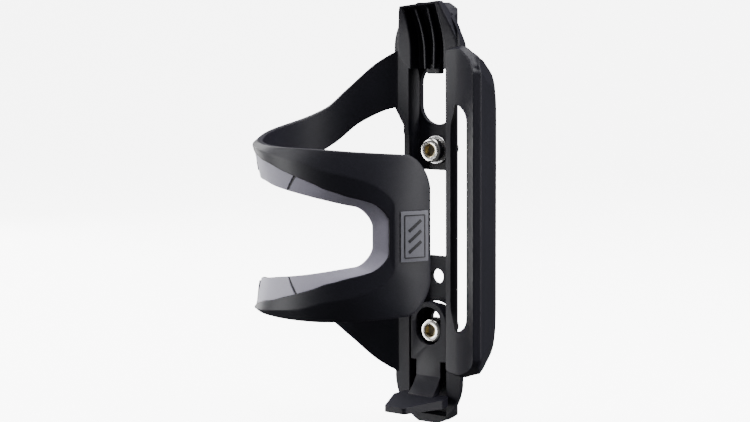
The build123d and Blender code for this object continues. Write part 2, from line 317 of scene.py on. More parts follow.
@dataclass(frozen=True)
class Palette:
    """Every finish of the cage, made once."""

    moulding: bpy.types.Material
    # The trim's one grey comes in two tones: a lighter copy with painted light for the side trims, a darker
    # copy with painted shade for the front trim.
    trim_painted_light: bpy.types.Material
    trim: bpy.types.Material
    badge: bpy.types.Material
    marks: bpy.types.Material
    bolt: bpy.types.Material
    socket: bpy.types.Material
    washer: bpy.types.Material
    paper: bpy.types.Material

    @staticmethod
    def made() -> "Palette":
        """Builds all the materials."""
        return Palette(
            moulding=MouldedFinish(
                "black_moulding", (0.0052, 0.005, 0.0085), (0.0135, 0.0128, 0.0205),
            ).material(),
            # Lighter copy of the trim grey: painted light on the upper and lower trims.
            trim_painted_light=MouldedFinish(
                "trim_with_painted_light", (0.33, 0.32, 0.385), (0.40, 0.39, 0.455), (0.5, 0.65),
            ).material(),
            # Darker copy of the same trim grey: painted shade on the front trim.
            trim=MouldedFinish(
                "trim_with_painted_shade", (0.26, 0.25, 0.31), (0.32, 0.305, 0.375), (0.5, 0.65),
            ).material(),
            badge=MouldedFinish(
                "grey_badge", (0.115, 0.115, 0.135), (0.15, 0.15, 0.175), (0.45, 0.6),
            ).material(),
            marks=MouldedFinish("badge_marks", (0.006, 0.006, 0.008), (0.012, 0.012, 0.015)).material(),
            bolt=SteelFinish("polished_bolt", (0.62, 0.60, 0.57), (0.86, 0.85, 0.83)).material(),
            socket=SteelFinish(
                "worn_socket", (0.30, 0.25, 0.15), (0.62, 0.55, 0.38), (0.2, 0.4),
            ).material(),
            washer=SteelFinish(
                "stamped_washer", (0.50, 0.50, 0.51), (0.78, 0.78, 0.79), (0.16, 0.32),
            ).material(),
            paper=PaperFinish().material(),
        )


# ---------------------------------------------------------------- surfaces


@dataclass
class Shell:
    """One closed surface: points in millimetres, four-sided faces, and end caps on an open path."""

    points: Array
    quads: Array
    caps: list[list[int]] = field(default_factory=list)

    def outward(self) -> "Shell":
        """Turns the faces outwards: the signed tetrahedra over the faces add up to a positive volume."""
        p = self.points
        tris = [self.quads[:, [0, 1, 2]], self.quads[:, [0, 2, 3]]]
        for cap in self.caps:
            fan = np.array(cap)
            tris.append(np.stack([np.full(len(fan) - 2, fan[0]), fan[1:-1], fan[2:]], axis=1))
        t = np.concatenate(tris)
        volume = np.einsum("ij,ij->i", p[t[:, 0]], np.cross(p[t[:, 1]], p[t[:, 2]])).sum()
        if volume < 0:
            self.quads = self.quads[:, ::-1]
            self.caps = [cap[::-1] for cap in self.caps]
        return self


def carried(rings: Array, loop: bool = False) -> Shell:
    """A closed profile carried along a path.

    Station i's ring point j is joined to its neighbours i+1 and j+1, so the faces are a grid
    that wraps in j, and in i as well if the path is a loop. Otherwise both ends get a cap.

    Args:
        rings: Stations by ring points by XYZ.
        loop: Whether the path closes on itself.

    Returns:
        The closed shell, facing outwards.
    """
    stations, count, _ = rings.shape
    index = np.arange(stations * count).reshape(stations, count)
    here = index if loop else index[:-1]
    there = np.roll(index, -1, axis=0) if loop else index[1:]
    quads = np.stack(
        [here, np.roll(here, -1, axis=1), np.roll(there, -1, axis=1), there],
        axis=-1,
    ).reshape(-1, 4)
    caps = [] if loop else [index[0][::-1].tolist(), index[-1].tolist()]
    return Shell(rings.reshape(-1, 3), quads, caps).outward()


def smooth_at(table: Sequence[Pair], x: Array) -> Array:
    """A smooth curve through (x, value) pairs that doesn't overshoot.

    Each stretch is a cubic whose end slopes are the harmonic mean of the two straight slopes
    that meet there, or 0 where they have opposite signs.

    Args:
        table: Pairs in rising order of x.
        x: Where to read it.

    Returns:
        The values.
    """
    xs, ys = np.array(table, float).T
    return smooth_track(xs, ys[:, None], np.asarray(x, float))[..., 0]


def smooth_track(xs: Array, ys: Array, x: Array) -> Array:
    """The same curve for several columns of values at once.

    Args:
        xs: Rising positions of the rows.
        ys: Rows of values.
        x: Where to read them.

    Returns:
        One row of values for each x.
    """
    step = np.diff(xs)
    slope = np.diff(ys, axis=0) / step[:, None]
    a, b = slope[:-1], slope[1:]
    same = (a * b) > 0
    mean = np.where(same, 2 * a * b / np.where(same, a + b, 1.0), 0.0)
    ends = np.concatenate([slope[:1], mean, slope[-1:]])
    k = np.clip(np.searchsorted(xs, x, side="right") - 1, 0, len(step) - 1)
    h = step[k][:, None]
    t = ((x - xs[k]) / step[k])[:, None]
    low, high = ys[k], ys[k + 1]
    return (
        low * (1 + 2 * t) * (1 - t) ** 2
        + high * t * t * (3 - 2 * t)
        + h * ends[k] * t * (1 - t) ** 2
        - h * ends[k + 1] * t * t * (1 - t)
    )


def rounded(corners: Array, radii: Sequence[float], fills: Sequence[int], steps: int = 3) -> Array:
    """Rounds the corners of every ring and fills its sides with rows.

    A corner becomes a quadratic curve from one radius before it to one radius after it, cut to
    0.45 of its shorter side. A side gets rows bunched towards its ends, at half of 1 - cos.

    Args:
        corners: Stations by corners by XYZ.
        radii: One for each corner.
        fills: Rows between each corner and the next.
        steps: Faces across a rounding.

    Returns:
        Stations by ring points by XYZ.
    """
    before = np.roll(corners, 1, axis=1) - corners
    after = np.roll(corners, -1, axis=1) - corners
    long_before = np.linalg.norm(before, axis=2, keepdims=True)
    long_after = np.linalg.norm(after, axis=2, keepdims=True)
    reach = np.minimum(np.asarray(radii, float)[None, :, None], 0.45 * np.minimum(long_before, long_after))
    first = corners + before / np.maximum(long_before, 1e-9) * reach
    last = corners + after / np.maximum(long_after, 1e-9) * reach
    t = np.linspace(0.0, 1.0, steps + 1)[None, None, :, None]
    turn = (1 - t) ** 2 * first[:, :, None] + 2 * t * (1 - t) * corners[:, :, None] + t * t * last[:, :, None]
    parts = []
    following = np.roll(first, -1, axis=1)
    for k, fill in enumerate(fills):
        parts.append(turn[:, k] if radii[k] > 0 else corners[:, k : k + 1])
        share = (0.5 - 0.5 * np.cos(np.linspace(0, math.pi, fill + 2)))[1:-1][None, :, None]
        parts.append(last[:, k : k + 1] * (1 - share) + following[:, k : k + 1] * share)
    return np.concatenate(parts, axis=1)


def mirrored_path(corners: Array, axis: int, about: float = 0.0) -> Array:
    """Carries stations that end on a mirror plane back along their mirror image.

    Args:
        corners: Stations by corners by coordinates, the last station on the plane.
        axis: The coordinate that changes sign.
        about: The plane's place on it.

    Returns:
        Twice the stations less one.
    """
    other = corners[:-1][::-1].copy()
    other[..., axis] = 2 * about - other[..., axis]
    return np.concatenate([corners, other])


def polar(angle: Array, radius: Array) -> tuple[Array, Array]:
    """(X, Y) on a circle round the bottle axis; the angle grows from +Y towards -X."""
    turn = np.radians(angle)
    return -radius * np.sin(turn), BOTTLE_AXIS_Y + radius * np.cos(turn)


def polished(name: str, shells: Sequence[Shell], materials: Sequence[bpy.types.Material]) -> bpy.types.Object:
    """Makes one object of some shells, each in its own material if there are several.

    Args:
        name: The object's name.
        shells: Closed shells in millimetres.
        materials: One for all, or one for each shell.

    Returns:
        The object, at the origin, in metres.
    """
    points = np.concatenate([shell.points for shell in shells]) * MM
    faces: list[Sequence[int]] = []
    finish: list[int] = []
    start = 0
    for number, shell in enumerate(shells):
        rows = (shell.quads + start).tolist() + [[i + start for i in cap] for cap in shell.caps]
        faces += rows
        finish += [number if len(materials) > 1 else 0] * len(rows)
        start += len(shell.points)
    mesh = bpy.data.meshes.new(name)
    mesh.from_pydata(points.tolist(), [], faces)
    for material in materials:
        mesh.materials.append(material)
    mesh.polygons.foreach_set("use_smooth", np.ones(len(faces), bool))
    mesh.polygons.foreach_set("material_index", np.array(finish, np.int32))
    mesh.set_sharp_from_angle(angle=SHARP)
    mesh.update()
    made = bpy.data.objects.new(name, mesh)
    bpy.context.scene.collection.objects.link(made)
    return made


def softened(
    frame: dict[str, Any], node: str, width: float, material: bpy.types.Material
) -> bpy.types.Object:
    """A copy of a CAD node with its corners eased.

    The copy's loose triangles are merged and flat areas are joined up, then a bevel eases every
    edge sharper than 30 degrees.

    Args:
        node: The CAD node.
        width: The bevel in millimetres.
        material: Its finish.

    Returns:
        The new object.
    """
    mesh = frame["nodes"][node].data.copy()
    work = bmesh.new()
    work.from_mesh(mesh)
    bmesh.ops.remove_doubles(work, verts=work.verts, dist=0.01 * MM)
    bmesh.ops.dissolve_limit(work, angle_limit=math.radians(1.5), verts=work.verts, edges=work.edges)
    work.to_mesh(mesh)
    work.free()
    mesh.materials.clear()
    mesh.materials.append(material)
    mesh.polygons.foreach_set("use_smooth", np.ones(len(mesh.polygons), bool))
    mesh.set_sharp_from_angle(angle=SHARP)
    made = bpy.data.objects.new(f"{node}_look", mesh)
    bpy.context.scene.collection.objects.link(made)
    bevel = made.modifiers.new("eased", "BEVEL")
    bevel.width = width * MM
    bevel.segments = 2
    bevel.limit_method = "ANGLE"
    bevel.angle_limit = math.radians(30)
    bevel.harden_normals = True
    return made


def settle(piece: bpy.types.Object, body: Body, slot: Slot, *nodes: str) -> None:
    """Rides a piece on its body and hides the CAD nodes that it stands for."""
    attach(piece, body.value)
    if nodes:
        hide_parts(*nodes)
    LOG.info("%s: %d faces on %s", piece.name, len(piece.data.polygons), body.value)


# ---------------------------------------------------------------- the arm


@dataclass
class EdgeLine:
    """One long line of the arm's upper limb, in (angle, height above MID_Z).

    It follows a table to its corner, turns down round the corner on a cubic curve, and ends as
    an upright side.
    """

    table: Table
    corner: float
    side: float
    side_top: float
    bulge: float = 0.0
    turn: float = 0.45

    def run(self, start: float, split: float, counts: tuple[int, int, int, int]) -> Array:
        """Samples the line from its root to its middle.

        Args:
            start: Angle of the root.
            split: Angle up to which every line keeps the same angles.
            counts: Samples on the back branch, the front limb, the corner and the upright side.

        Returns:
            Rows of (angle, height), ending at height 0.
        """
        back = np.linspace(start, split, counts[0], endpoint=False)
        t = np.linspace(0, 1, counts[1], endpoint=False)
        front = split + (self.corner - split) * t + self.bulge * np.sin(math.pi * t)
        angles = np.concatenate([back, front])
        limb = np.stack([angles, smooth_at(self.table, angles)], axis=1)
        height = float(smooth_at(self.table, np.array([self.corner]))[0])
        before = float(smooth_at(self.table, np.array([self.corner - 1.0]))[0])
        meet = height + (height - before) * (self.side - self.corner)
        p0, p3 = np.array([self.corner, height]), np.array([self.side, self.side_top])
        knee = np.array([self.side, meet])
        p1, p2 = p0 + (knee - p0) * self.turn, p3 + (knee - p3) * self.turn
        s = np.linspace(0, 1, counts[2], endpoint=False)[:, None]
        curve = (1 - s) ** 3 * p0 + 3 * s * (1 - s) ** 2 * p1 + 3 * s * s * (1 - s) * p2 + s**3 * p3
        drop = np.linspace(self.side_top, 0.0, counts[3])
        upright = np.stack([np.full(counts[3], self.side), drop], axis=1)
        return np.concatenate([limb, curve, upright])


@dataclass
class WrapArm:
    """The C-shaped arm, its three trim pieces and its badge.

    The four lines are the window's edge, the trims' boundary, the crease and the outer edge.
    Offsets are outwards from the outer radius. The trims' offsets are those of the plate's two
    edges, each (hidden side, shown side), and a share of the way from the window to the boundary.
    """

    start: float = 15.5
    split: float = 125.0
    counts: tuple[int, int, int, int] = (44, 46, 16, 7)
    radii: Table = field(
        default_factory=lambda: [
            (0.0, 41.0), (17.0, 40.8), (60.0, 39.6), (100.0, 38.0), (127.0, 37.2), (150.0, 37.0),
            (260.0, 37.0),
        ]
    )
    inner: Table = field(
        default_factory=lambda: [(0.0, 2.0), (17.0, 2.0), (20.0, 2.1), (24.0, 3.0), (31.0, 3.6), (260.0, 3.6)]
    )
    outer_edge: EdgeLine = field(
        default_factory=lambda: EdgeLine(
            [
                (8, 59.5), (17, 57.8), (30, 53), (46, 43.9), (58, 37.4), (75, 33.6), (100, 30.9), (127, 28.8),
                (160, 27.9), (190, 27.7), (215, 26.9), (239.5, 25.9), (256, 25.0),
            ],
            239.5, 254.4, 14.4,
        )
    )
    window: EdgeLine = field(
        default_factory=lambda: EdgeLine(
            [
                (8, 38), (20, 37.2), (38, 32.4), (54, 24.7), (70, 20), (95, 17.2), (120, 16.4), (145, 16),
                (160, 14.8), (171, 13.9), (180, 13.1), (195, 11.5), (208, 10), (212, 9.6), (225, 8.2),
            ],
            212.0, 221.5, 3.0,
        )
    )
    boundary: EdgeLine = field(
        default_factory=lambda: EdgeLine(
            [
                (8, 38.7), (20, 37.9), (38, 33.1), (54, 25.4), (70, 20.7), (95, 17.9), (112, 17.6),
                (119, 25.0), (121, 26), (145, 24.2), (153, 23.1), (160, 22.4), (170, 20.7), (176, 19.7),
                (184, 18.2), (191, 16.8), (197, 15.2), (203, 14.2), (209, 13), (215, 12.1), (221, 11),
                (232, 9.4),
            ],
            220.0, 229.7, 5.0, 4.2,
        )
    )
    crease: EdgeLine = field(
        default_factory=lambda: EdgeLine(
            [
                (8, 56.5), (17, 54.8), (30, 50), (46, 40.9), (58, 34.4), (75, 30.6), (100, 28.6), (127, 27.4),
                (150, 26.3), (170, 24.6), (184, 23.4), (197, 20.9), (209, 19.4), (218, 17.8), (235, 15.2),
            ],
            217.0, 232.2, 10.0, 6.0,
        )
    )
    droop: Table = field(
        default_factory=lambda: [
            (0, 0), (20, 0), (54, 0.8), (70, 2.5), (85, 3.2), (100, 3.1), (120, 1.6), (142, 0.3),
            (152, 0), (260, 0),
        ]
    )
    rim_lip: float = 0.55
    rim_offset: float = -3.05
    seat_offset: float = -1.25
    step_offset: float = -0.45
    edge_offset: float = -1.8
    trim_low: Pair = (-3.06, -2.62)
    trim_high: Pair = (-1.26, -0.74)
    trim_shares: Pair = (0.02, 0.985)
    trim_angles: Pair = (119.0, 171.4)
    seam: float = 0.35
    badge_angles: Pair = (235.4, 250.5)
    badge_half: float = 8.05

    def lines(self) -> tuple[Array, Array, Array, Array]:
        """The window, boundary, crease and outer edge lines, station by station."""
        return tuple(
            line.run(self.start, self.split, self.counts)
            for line in (self.window, self.boundary, self.crease, self.outer_edge)
        )

    def placed(self, flat: Array) -> Array:
        """Wraps (arc, height, offset) points round the bottle axis.

        The arc divided by UNROLL is the angle, the radius is the arm's outer radius there plus
        the offset, and the height is above MID_Z.

        Args:
            flat: Points with the arc, height and offset last.

        Returns:
            The same points as XYZ.
        """
        angle = flat[..., 0] / UNROLL
        radius = smooth_at(self.radii, angle.ravel()).reshape(angle.shape) + flat[..., 2]
        x, y = polar(angle, radius)
        return np.stack([x, y, MID_Z + flat[..., 1]], axis=-1)

    @staticmethod
    def at(line: Array, offset: Array | float) -> Array:
        """A row of flat points from one line, moved out by offset."""
        out = np.broadcast_to(np.asarray(offset, float), len(line))
        return np.stack([line[:, 0] * UNROLL, line[:, 1], out], axis=1)

    def between(self, a: Array, b: Array, share: float, offset: Array | float) -> Array:
        """A row of flat points part of the way from one line to another."""
        return self.at(a * (1 - share) + b * share, offset)

    def arm_shell(self) -> Shell:
        """The arm: its ring runs up the sloping seat, over the outer face to the edge, and back inside."""
        window, boundary, crease, edge = self.lines()
        inside = -smooth_at(self.inner, edge[:, 0])
        inside_low = -smooth_at(self.inner, window[:, 0])
        rim = np.maximum(inside_low + self.rim_lip, self.rim_offset)
        corners = np.stack(
            [
                self.at(window, inside_low),
                self.at(window, rim),
                self.at(boundary, self.seat_offset),
                self.at(boundary, self.step_offset),
                self.at(crease, 0.0),
                self.at(edge, self.edge_offset),
                self.at(edge, inside),
            ],
            axis=1,
        )
        path = self.sagged(mirrored_path(corners, 1), slice(0, 4))
        rings = rounded(path, (0.3, 0.14, 0.05, 0.2, 0.35, 0.35, 0.5), (1, 3, 0, 8, 5, 2, 10))
        return carried(self.placed(rings))

    def sagged(self, corners: Array, tracks: slice) -> Array:
        """Lowers the window's side of the lower limb's back branch by the droop table.

        Args:
            corners: Stations by tracks by (arc, height, offset).
            tracks: The tracks to lower.

        Returns:
            The same array.
        """
        angle = corners[:, tracks, 0] / UNROLL
        droop = smooth_at(self.droop, angle.ravel()).reshape(angle.shape)
        corners[:, tracks, 1] -= np.where(corners[:, tracks, 1] < 0, droop, 0.0)
        return corners

    def trim_shell(self, first: float, last: float | None, lower: bool = False) -> Shell:
        """A plate on the sloping seat between two angles of the window line, or round the front.

        Args:
            first: Angle of its first end.
            last: Angle of its other end, or None to go round the front to the other limb.
            lower: Whether it lies on the lower limb.

        Returns:
            The shell.
        """
        window, boundary, _, _ = self.lines()
        keep = window[:, 0] >= first
        if last is not None:
            keep &= window[:, 0] <= last
        window, boundary = window[keep], boundary[keep]
        near, far = self.trim_shares
        low, low_out = (self.between(window, boundary, near, offset) for offset in self.trim_low)
        high, high_out = (self.between(window, boundary, far, offset) for offset in self.trim_high)
        corners = np.stack([low, low_out, high_out, high], axis=1)
        if last is None:
            corners = mirrored_path(corners, 1)
        if lower:
            corners[..., 1] *= -1
        rings = rounded(self.sagged(corners, slice(0, 4)), (0.05, 0.12, 0.1, 0.05), (0, 5, 0, 3))
        return carried(self.placed(rings))

    def plate(self, angles: Pair, heights: Pair, offsets: Pair) -> Shell:
        """A thin curved plate: a rounded rectangle of height and offset carried along the angle."""
        arc = np.linspace(angles[0], angles[1], 18) * UNROLL
        (h0, h1), (d0, d1) = heights, offsets
        section = np.array([[h0, d0], [h0, d1], [h1, d1], [h1, d0]])
        corners = np.empty((len(arc), 4, 3))
        corners[..., 0] = arc[:, None]
        corners[..., 1:] = section[None]
        return carried(self.placed(rounded(corners, (0.02, 0.06, 0.06, 0.02), (0, 3, 0, 3))))

    def stroke(self, path: Array, width: float, offsets: Pair) -> Shell:
        """A raised line: a flat bar carried along a path of (angle, height).

        Each station's side is the path's direction turned by a right angle in the unrolled
        plane, so the bar keeps its width round bends.
        """
        line = np.stack([path[:, 0] * UNROLL, path[:, 1]], axis=1)
        along = np.gradient(line, axis=0)
        along /= np.linalg.norm(along, axis=1, keepdims=True)
        side = np.stack([-along[:, 1], along[:, 0]], axis=1) * width / 2
        low, high = offsets
        rows = []
        for sign, offset in ((-1, low), (-1, high), (1, high), (1, low)):
            flat = line + sign * side
            rows.append(np.concatenate([flat, np.full((len(flat), 1), offset)], axis=1))
        return carried(self.placed(np.stack(rows, axis=1)))

    def badge_marks(self) -> list[Shell]:
        """Plain decoration: a thin frame and three slanting bars."""
        a0, a1 = self.badge_angles
        half = self.badge_half
        inset = 1.3
        u0, u1 = a0 + inset / UNROLL, a1 - inset / UNROLL
        top = half - inset
        depth = (0.02, 0.16)
        samples = np.linspace(0, 1, 12)[:, None]
        ends = [
            ((u0, -top), (u1, -top)), ((u0, top), (u1, top)), ((u0, -top), (u0, top)),
            ((u1, -top), (u1, top)),
        ]
        strokes = []
        for first, second in ends:
            strokes.append((np.array(first), np.array(second), 0.35))
        for rise in (-3.4, 0.0, 3.4):
            strokes.append((np.array([u0 + 2.2, rise - 1.7]), np.array([u1 - 2.2, rise + 1.7]), 0.95))
        return [self.stroke(p * (1 - samples) + q * samples, width, depth) for p, q, width in strokes]

    def build(self, palette: Palette) -> None:
        """Makes and settles the arm's pieces."""
        settle(
            polished("wrap_arm_look", [self.arm_shell()], [palette.moulding]),
            Body.CAGE,
            Slot.MOULDING,
            "wrap_arm",
        )
        first, seam = self.trim_angles
        # The side trims take the lighter copy with painted light, the front trim the darker copy with painted
        # shade.
        for name, lower in (("trim_upper", False), ("trim_lower", True)):
            shell = self.trim_shell(first, seam - self.seam, lower)
            settle(polished(f"{name}_look", [shell], [palette.trim_painted_light]), Body.CAGE, Slot.TRIM, name)
        front = polished("trim_front_look", [self.trim_shell(seam + self.seam, None)], [palette.trim])
        settle(front, Body.CAGE, Slot.TRIM, "trim_front")
        plate = self.plate(self.badge_angles, (-self.badge_half, self.badge_half), (-0.5, 0.05))
        settle(polished("badge_plate_look", [plate], [palette.badge]), Body.CAGE, Slot.BADGE, "badge_plate")
        settle(polished("badge_marks", self.badge_marks(), [palette.marks]), Body.CAGE, Slot.BADGE)


# ---------------------------------------------------------------- the wing


@dataclass
class CradleWing:
    """The hollow wing beside the bottle: a curved seat with a slot, and a bevelled flank.

    Its profile is carried round the slot. Each row is a station of the upper half: the slot's
    (angle, height) in front and behind, then six points for the face's edge, the tip, the
    flank's end, the bevel's outer edge, the wall behind it and the inner knee.
    """

    seat_radius: float = 37.0
    back_radius: float = 39.9
    lower_reach: float = 0.95
    slot_drop: float = 0.5
    per_stretch: int = 12

    def stations(self) -> Array:
        """Corner tracks of the upper half: stations by eight corners by XYZ, heights above MID_Z."""

        def at(angle: float, radius: float, height: float) -> Point:
            """A point given by its angle towards +X."""
            x, y = polar(-angle, radius)
            return (float(x), float(y), height)

        front, back = self.seat_radius, self.back_radius
        tip = at(45, back, 0)
        rows = []

        def row(slot: tuple[float, float, float, float], points: list[Point]) -> None:
            """Adds one station's corners, from the slot's front (angle, height) round to its back's."""
            rows.append([at(slot[0], front, slot[1]), *points, at(slot[2], back, slot[3])])

        left = 12.5
        left_radii = (37.1, 37.4, 37.8, 38.6, 39.3)
        for slot, height in (
            ((16.7, 0.0, 16.3, 0.0), 0.0), ((16.7, 29.5, 16.3, 30.0), 34.0), ((16.9, 31.9, 16.3, 33.5), 40.0)
        ):
            row(slot, [at(left, r, height) for r in left_radii] + [at(15.2, back, height)])
        row(
            (19.2, 36.0, 16.3, 37.5),
            [
                at(left, 37.1, 57.2), at(left, 37.5, 57.5), at(left, 38.0, 57.7), at(left, 38.8, 57.9),
                at(left, 39.3, 57.4), at(16, back, 47),
            ],
        )
        row(
            (21.4, 39.4, 16.8, 40.4),
            [
                at(22, 37.1, 58.2), at(22, 37.8, 58.6), at(22.1, 38.5, 58.9), at(22.3, 39.6, 59.2),
                at(22.2, 40.1, 58.4), at(26, back, 48),
            ],
        )
        row(
            (24.5, 38.9, 25.0, 40.0),
            [
                at(31, front, 56.4), at(31.3, 37.7, 56.7), at(31.7, 38.5, 57.0), at(32.4, 39.6, 57.3),
                at(32.2, 40.0, 56.5), at(31, back, 48),
            ],
        )
        row(
            (28.0, 37.8, 29.0, 38.6),
            [
                at(38, front, 54.2), at(38.4, 37.8, 54.6), at(38.8, 38.8, 55.1), at(39.6, 39.9, 55.9),
                at(39.0, 40.2, 55.1), at(35, back, 47),
            ],
        )
        row(
            (30.8, 36.5, 32.0, 37.0),
            [
                at(42.6, front, 52.1), at(43.1, 37.9, 52.2), at(43.8, 39.0, 52.5), (26.9, -15.2, 55.5),
                (25.9, -15.2, 54.7), at(38, back, 46),
            ],
        )
        row(
            (32.4, 35.0, 33.5, 35.2),
            [
                at(44.8, front, 50.0), (*tip[:2], 49.8), (27.9, -15.4, 50.4), (26.1, -12.2, 54.6),
                (24.9, -12.6, 53.8), at(40, back, 44),
            ],
        )
        row(
            (33.0, 33.2, 34.0, 33.2),
            [
                at(45, front, 46.6), (*tip[:2], 46.2), (27.0, -11.0, 47.2), (25.3, -8.4, 52.4),
                (24.0, -8.8, 51.6), at(41, back, 42),
            ],
        )
        row(
            (33.0, 31.0, 34.0, 31.0),
            [
                at(45, front, 42.5), (*tip[:2], 42.3), (25.5, -4.8, 44.8), (24.3, -3.6, 49.1),
                (22.9, -4.1, 48.3), at(41, back, 38),
            ],
        )
        row(
            (33.0, 27.0, 34.0, 27.0),
            [
                at(45, front, 37.0), (*tip[:2], 37.0), (24.6, -1.8, 40.4), (23.8, -1.2, 44.4),
                (22.3, -1.6, 43.6), at(41, back, 34),
            ],
        )
        for slot_top, height in ((20.0, 26.0), (0.0, 0.0)):
            row(
                (33.0, slot_top, 34.0, slot_top),
                [
                    at(45, front, height), (*tip[:2], height), (24.2, -0.9, height * 1.15),
                    (23.7, -0.45, height * 1.2), (22.0, -0.8, height * 1.18), at(41, back, height),
                ],
            )
        return np.array(rows)

    def shell(self) -> Shell:
        """The wing, carried round its slot as a closed loop."""
        anchors = self.stations()
        count = len(anchors)
        x = np.linspace(0, count - 1, (count - 1) * self.per_stretch + 1)
        tracks = smooth_track(
            np.arange(count, dtype=float), anchors.reshape(count, -1), x,
        ).reshape(len(x), -1, 3)
        path = mirrored_path(tracks, 2)[:-1]
        outer = path[:, 1:7, 2]
        path[:, 1:7, 2] = np.where(outer < 0, outer * self.lower_reach, outer) + MID_Z
        path[:, [0, 7], 2] += MID_Z - self.slot_drop
        rings = rounded(path, (0.35, 0.3, 0.3, 0.25, 0.4, 0.4, 0.3, 0.3), (8, 2, 4, 4, 2, 4, 4, 3))
        return carried(self._curved(rings), loop=True)

    def _curved(self, rings: Array) -> Array:
        """Pushes the face rows on to the seat's cylinder.

        The rows between the slot and the face edge lie on straight chords, so each is moved out
        from the bottle axis to the radius read along its chord.
        """
        face = slice(4, 12)
        rows = rings[:, face]
        ends = rings[:, [3, 12]]
        away = np.hypot(ends[..., 0], ends[..., 1] - BOTTLE_AXIS_Y)
        share = np.linalg.norm(rows - ends[:, :1], axis=2) / np.maximum(
            np.linalg.norm(ends[:, 1:] - ends[:, :1], axis=2), 1e-9
        )
        wanted = away[:, :1] * (1 - share) + away[:, 1:] * share
        now = np.hypot(rows[..., 0], rows[..., 1] - BOTTLE_AXIS_Y)
        rings[:, face, 0] *= wanted / now
        rings[:, face, 1] = BOTTLE_AXIS_Y + (rows[..., 1] - BOTTLE_AXIS_Y) * wanted / now
        return rings

    def build(self, palette: Palette) -> None:
        """Makes and settles the wing."""
        settle(
            polished("side_wing_look", [self.shell()], [palette.moulding]),
            Body.CAGE,
            Slot.MOULDING,
            "side_wing",
        )


# ---------------------------------------------------------------- the neck hook


@dataclass
class NeckHook:
    """The grooved insert that leans forward over the bottle's neck.

    A section is carried up from its foot to its top. Front and back are (Z, Y), half is
    (Z, half width). The top end tilts towards +X, by tilt at half width tilt_half.
    """

    front: Table = field(
        default_factory=lambda: [
            (60.5, -8.05), (66.5, -8.05), (69.0, -8.2), (72.0, -8.8), (75.0, -9.8), (78.0, -11.1),
            (81.0, -12.5), (82.8, -13.3),
        ]
    )
    back: Table = field(
        default_factory=lambda: [
            (60.5, -2.6), (68.0, -2.6), (73.0, -3.8), (78.0, -6.2), (82.4, -9.4), (83.8, -11.6),
        ]
    )
    half: Table = field(
        default_factory=lambda: [
            (60.5, 7.9), (62.5, 10.4), (65.5, 12.5), (68.5, 13.0), (72.0, 12.3), (75.0, 11.4),
            (78.0, 10.3), (81.0, 9.2), (82.8, 8.4),
        ]
    )
    rib: Pair = (1.8, 2.6)
    rib_half: float = 0.42
    grooved: float = 6.9
    deep: float = 4.4
    recess: float = 1.4
    foot: float = 60.5
    top: float = 82.8
    lip: float = 1.8
    tilt: float = 1.9
    tilt_half: float = 12.0
    tilt_from: float = 76.0
    tilt_over: float = 8.0
    back_wall: float = 0.9

    def shell(self) -> Shell:
        """The insert: each level's section has two flanks and, between them, three grooves and two ribs."""
        z = np.linspace(self.foot, self.top, 72)
        y, back, w = (smooth_at(table, z) for table in (self.front, self.back, self.half))
        share = (z - z[0]) / (z[-1] - z[0])
        rib = self.rib[0] + (self.rib[1] - self.rib[0]) * share
        lip = np.sqrt(np.clip((self.top - 0.5 - z) / self.lip, 0.0, 1.0))
        deep = np.minimum(self.deep, back - y - self.back_wall) * lip + 0.05
        top = np.minimum(self.recess, deep * 0.6)
        g, t = self.grooved, self.rib_half
        zero = np.zeros_like(z)
        half = [
            (w, back), (w, y), (zero + g, y), (zero + g - 0.45, y + deep), (rib + t + 0.25, y + deep),
            (rib + t, y + top), (rib - t, y + top), (rib - t - 0.25, y + deep),
        ]
        tilt = np.clip((z - self.tilt_from) / self.tilt_over, 0, 1) ** 2 * self.tilt / self.tilt_half
        right = [np.stack([x, depth, z + tilt * x], axis=1) for x, depth in half]
        left = [np.stack([-x, depth, z - tilt * x], axis=1) for x, depth in half[::-1]]
        corners = np.stack(right + left, axis=1)
        radii = (0.8, 0.7, 0.35, 0.4, 0.3, 0.22, 0.22, 0.3)
        rings = rounded(corners, radii + radii[::-1], (3, 4, 3, 2, 2, 1, 2, 2, 2, 1, 2, 2, 3, 4, 3, 4))
        return self._eased_ends(rings)

    @staticmethod
    def _eased_ends(rings: Array) -> Shell:
        """Draws each end in over two short steps, so that its rim is rounded."""
        centre_low, centre_high = rings[0].mean(axis=0), rings[-1].mean(axis=0)
        step_high = np.array([0.0, -0.12, 0.2])
        low = centre_low + (rings[0] - centre_low) * 0.985
        high = centre_high + (rings[-1] - centre_high) * 0.985 + step_high
        higher = centre_high + (rings[-1] - centre_high) * 0.955 + step_high * 1.6
        return carried(np.concatenate([low[None], rings, high[None], higher[None]]))

    def tongue(self) -> Shell:
        """The tongue below it: a rounded box with the grooves' two ridges on its front."""
        z = np.array([58.7, 58.85, 59.1, 60.4, 62.0])
        draw = np.array([0.5, 0.2, 0.0, 0.0, 0.0])
        x0, x1, y0, y1 = -2.3 + draw, 3.4 - draw, -5.2 + draw, -2.4 - draw
        corners = np.stack(
            [np.stack(pair, axis=1) for pair in ((x0, y1, z), (x0, y0, z), (x1, y0, z), (x1, y1, z))], axis=1
        )
        return carried(rounded(corners, (0.3, 0.4, 0.4, 0.3), (3, 3, 3, 3)))

    def build(self, palette: Palette) -> None:
        """Makes and settles the hook."""
        piece = polished("neck_hook_look", [self.shell(), self.tongue()], [palette.moulding])
        settle(piece, Body.CAGE, Slot.MOULDING, "neck_hook")


# ---------------------------------------------------------------- bolts and washers


